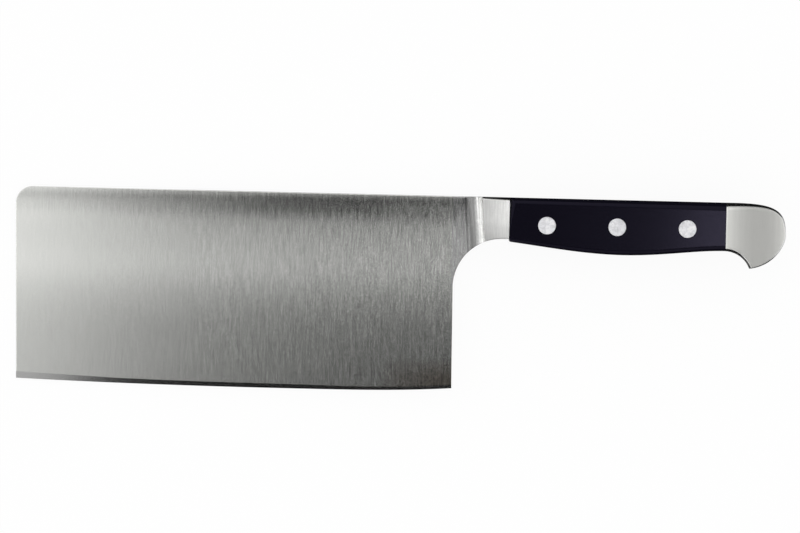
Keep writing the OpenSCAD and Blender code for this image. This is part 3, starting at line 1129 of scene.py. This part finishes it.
def make_floor():
    """A pale floor under the knife, which rests on the front of its bolster and the
    tip of its blade. It is clear from below, and white with the knife's soft shadow
    from above."""
    rest_x = NECK_LEN - BOLSTER_FLAT
    tip_z = HALF_T - cheek_z(BLADE_H)
    tilt = math.atan2(tip_z, rest_x + NOSE_END)
    material, tree, surface = bare("pale_floor")
    diffuse = tree.nodes.new("ShaderNodeBsdfDiffuse")
    diffuse.inputs["Color"].default_value = (1, 1, 1, 1)
    glow = tree.nodes.new("ShaderNodeEmission")
    clear = tree.nodes.new("ShaderNodeBsdfTransparent")
    backside = tree.nodes.new("ShaderNodeNewGeometry").outputs["Backfacing"]
    lit, seen = tree.nodes.new("ShaderNodeMixShader"), tree.nodes.new("ShaderNodeMixShader")
    tree.links.new(math_node(tree, "MULTIPLY", seen_directly(tree), FLOOR_WHITE), lit.inputs[0])
    tree.links.new(diffuse.outputs[0], lit.inputs[1])
    tree.links.new(glow.outputs[0], lit.inputs[2])
    tree.links.new(backside, seen.inputs[0])
    tree.links.new(lit.outputs[0], seen.inputs[1])
    tree.links.new(clear.outputs[0], seen.inputs[2])
    tree.links.new(seen.outputs[0], surface)
    touch = place([rest_x, BLADE_H / 2, -HALF_T])
    half = (-FLOOR_SIZE / 2, FLOOR_SIZE / 2)
    flat_card("floor", touch, half, half, (0, tilt, 0), material)


def hide_from_all_but_reflections(card):
    """A card that shapes reflections only, as one far outside the picture does."""
    card.visible_camera = False
    card.visible_diffuse = False
    card.visible_shadow = False
    card.visible_transmission = False


CARD_HEIGHT = 0.6
# The overhead card's edges, from a point above the picture's centre
CARD_X = (-0.35, 0.42)
CARD_Y = (-0.13, 0.085)
# Its brightness along x, and what each lighter field adds: the product of a curve
# along x and a curve along y
CARD_ALONG = ((-0.35, 1.0), (-0.165, 1.0), (-0.157, 0.0), (0.42, 0.0))
CARD_FIELDS = {
    "middle": (
        ((-0.35, 1.0), (0.02, 1.0), (0.06, 0.0), (0.42, 0.0)),
        ((-0.13, 0.0), (-0.075, 0.0), (-0.052, 0.08), (-0.033, 0.2), (-0.0166, 0.55),
         (-0.0096, 0.37), (0.002, 0.25), (0.02, 0.0), (0.085, 0.0)),
    ),
    "spine": (
        ((-0.35, 1.0), (0.06, 1.0), (0.1, 0.0), (0.42, 0.0)),
        ((-0.13, 0.0), (0.054, 0.0), (0.064, 0.24), (0.085, 0.24)),
    ),
    "front": (
        ((-0.35, 1.0), (-0.155, 1.0), (-0.125, 0.0), (0.42, 0.0)),
        ((-0.13, 0.0), (-0.008, 0.0), (0.008, 0.35), (0.03, 0.33), (0.045, 0.1), (0.085, 0.1)),
    ),
    "edge": (
        ((-0.35, 0.4), (-0.15, 0.4), (-0.1, 1.0), (-0.03, 1.0), (0.0, 0.0), (0.42, 0.0)),
        ((-0.13, 0.11), (-0.07, 0.11), (-0.045, 0.0), (0.085, 0.0)),
    ),
    "heel": (
        ((-0.35, 0.0), (-0.02, 0.0), (0.03, 1.0), (0.08, 1.0), (0.12, 0.0), (0.42, 0.0)),
        ((-0.13, 0.0), (-0.066, 0.0), (-0.056, 0.09), (-0.042, 0.09), (-0.03, 0.0), (0.085, 0.0)),
    ),
    "grip_front": (
        ((-0.35, 0.0), (0.065, 0.0), (0.1, 1.0), (0.15, 1.0), (0.2, 0.0), (0.42, 0.0)),
        ((-0.13, 0.0), (-0.01, 0.0), (0.0, 0.22), (0.035, 0.22), (0.05, 0.0), (0.085, 0.0)),
    ),
    "grip": (
        ((-0.35, 0.0), (0.134, 0.0), (0.15, 1.0), (0.25, 1.0), (0.3, 0.0), (0.42, 0.0)),
        ((-0.13, 0.0), (-0.04, 0.0), (-0.02, 2.35), (0.04, 2.35), (0.055, 0.0), (0.085, 0.0)),
    ),
}


def make_overhead_card():
    """The card above the knife, which its blade and grip mirror: white beyond the tip,
    and black behind it but for its lighter fields."""
    material, tree, surface = bare("graded_card")
    on_card = object_axes(tree)
    along, across = on_card["X"], on_card["Y"]
    level = graded(tree, along, CARD_ALONG)
    for x_stops, y_stops in CARD_FIELDS.values():
        x_curve, y_curve = graded(tree, along, x_stops), graded(tree, across, y_stops)
        level = math_node(tree, "ADD", level, math_node(tree, "MULTIPLY", x_curve, y_curve))
    glow = tree.nodes.new("ShaderNodeEmission")
    tree.links.new(level, glow.inputs["Strength"])
    tree.links.new(glow.outputs[0], surface)
    centre = place([*VIEW_CENTRE, HALF_T]) + [0, 0, CARD_HEIGHT]
    card = flat_card("overhead_card", centre, CARD_X, CARD_Y, (0, 0, 0), material)
    hide_from_all_but_reflections(card)


def plain_card(level):
    """The material of a card with one brightness."""
    material, tree, surface = bare("plain_card")
    glow = tree.nodes.new("ShaderNodeEmission")
    glow.inputs["Strength"].default_value = level
    tree.links.new(glow.outputs[0], surface)
    return material


# Dark cards: brightness, centre, edges along x and y, and turn about x and y
DARK_CARDS = {
    "bevel_card": (0.01, (0.0, -0.33, 0.6), (-0.165, 0.03), (-0.13, 0.13), (0, 0)),
    "front_bevel_card": (0.5, (0.0, -0.33, 0.6), (-0.4, -0.165), (-0.13, 0.13), (0, 0)),
    "grip_bevel_card": (0.01, (0.0, -0.37, 0.6), (0.03, 0.16), (-0.09, 0.09), (0, 0)),
    "far_card": (0.01, (0.06, 0.17, 0.045), (-0.15, 0.3), (-0.055, 0.055), (90, 0)),
    "far_floor_card": (0.01, (0.03, 0.104, 0.0006), (-0.12, 0.27), (-0.066, 0.066), (0, 2.16)),
    "near_card": (0.01, (0.15, -0.12, 0.045), (-0.115, 0.15), (-0.055, 0.055), (90, 0)),
    "near_floor_card":
        (0.01, (0.09, -0.0505, -0.0015), (-0.06, 0.072), (-0.0695, 0.0695), (0, 2.16)),
    "end_floor_card": (0.01, (0.162, -0.06, -0.0042), (0.0, 0.138), (-0.06, 0.062), (0, 2.16)),
}


def make_dark_cards():
    """Dark cards that draw a line along the bevel and along the rims of the handle."""
    for name, (level, centre, across, along, turns) in DARK_CARDS.items():
        turn = (math.radians(turns[0]), math.radians(turns[1]), 0)
        card = flat_card(name, centre, across, along, turn, plain_card(level))
        hide_from_all_but_reflections(card)


KEY_PLACE = (-1.5, 0.04, 0.32)
KEY_SIZE = (0.6, 1.0)
KEY_WATTS = 3.5


def make_key_light():
    """A soft light beyond the blade's tip, which the ramp of the bolster mirrors."""
    data = bpy.data.lights.new("key_light", "AREA")
    data.shape = "RECTANGLE"
    data.size, data.size_y = KEY_SIZE
    data.energy = KEY_WATTS
    lamp = new_object("key_light", data)
    lamp.location = KEY_PLACE
    lamp.rotation_euler = (0, math.atan2(KEY_PLACE[0], KEY_PLACE[2]), 0)


grinding = grinding_group()
# Weights of the lines, streaks, clouds and spots
BELT = (0.9, 1.0, 0.06, 0)
FINE = (0.8, 0.3, 0.5, 0)
SPOTTED = (0.2, 0.2, 0.4, 0.7)
# Each finish of steel: its colour, roughness and anisotropy, how much the marks change
# its tone, their weights and its shade, which paints light and shade onto its colour
STEELS = {
    "satin_blade": ((0.68, 0.685, 0.66), 0.16, 1.0, 0.7, BELT, blade_painted_band_and_corner),
    "ground_ramp": ((0.682, 0.683, 0.674), 0.16, 1.0, 0.7, BELT, ramp_painted_light),
    "ground_bevel": ((0.68, 0.68, 0.67), 0.12, 0.0, 0.3, BELT),
    "satin_bolster": ((0.89, 0.89, 0.88), 0.85, 0.2, 0.3, FINE, bolster_painted_light),
    "satin_butt": ((0.635, 0.635, 0.612), 0.5, 0.3, 0.1, FINE, butt_painted_light),
    "rubbed_rim": ((0.7, 0.7, 0.69), 0.2, 0.0, 0.1, FINE),
    "rivet_steel": ((0.9, 0.9, 0.915), 0.8, 0.0, 0.8, SPOTTED),
}
steel = {name: ground_steel(name, *finish) for name, finish in STEELS.items()}
# The plastic's flat sides and its rounded rims, and their specular levels
PLASTICS = {"black_plastic": 0.28, "black_plastic_rim": 0.14}
plastic = [black_plastic(name, level) for name, level in PLASTICS.items()]

# The forging's materials, and the place of each among them
FINISHES = (
    "satin_blade", "satin_bolster", "satin_butt", "rubbed_rim", "ground_ramp", "ground_bevel",
)
BLADE, BOLSTER, BUTT, RIM, RAMP, BEVEL = range(len(FINISHES))
# How near the line of the bevel a point lies on it, and how far out of the edge
LINE_REACH = 0.01
OFF_EDGE = 0.1


def on_bevel_line(points):
    """Whether each point lies on the line where the bevel meets the cheek."""
    x, y, z = points.T
    return (x < 0) & (np.abs(y - bevel_top(x)) < LINE_REACH) & (np.abs(z) > OFF_EDGE)


shell = Shell()
add_blade(shell, BLADE, BEVEL)
add_neck(shell, RAMP, BOLSTER, RIM)
add_tang(shell, BOLSTER)
add_butt(shell, BUTT, RIM)
forging = shell.finish("forging", [steel[name] for name in FINISHES], crease=on_bevel_line)
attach(forging, "root")
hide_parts("blade_forging")

for side, word in ((1, "upper"), (-1, "lower")):
    scale = make_scale(f"{word}_scale", side, plastic)
    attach(scale, "root")
    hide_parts(f"handle_scale_{word}")

for i in range(RIVETS):
    for make, word in ((make_stud, "stud"), (make_sleeve, "sleeve")):
        rivet = make(i, steel["rivet_steel"])
        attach(rivet, "root")
        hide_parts(f"rivet_{word}_{i + 1}")

make_camera()
make_world()
make_floor()
make_overhead_card()
make_dark_cards()
make_key_light()

bpy.context.scene.view_settings.view_transform = "Standard"
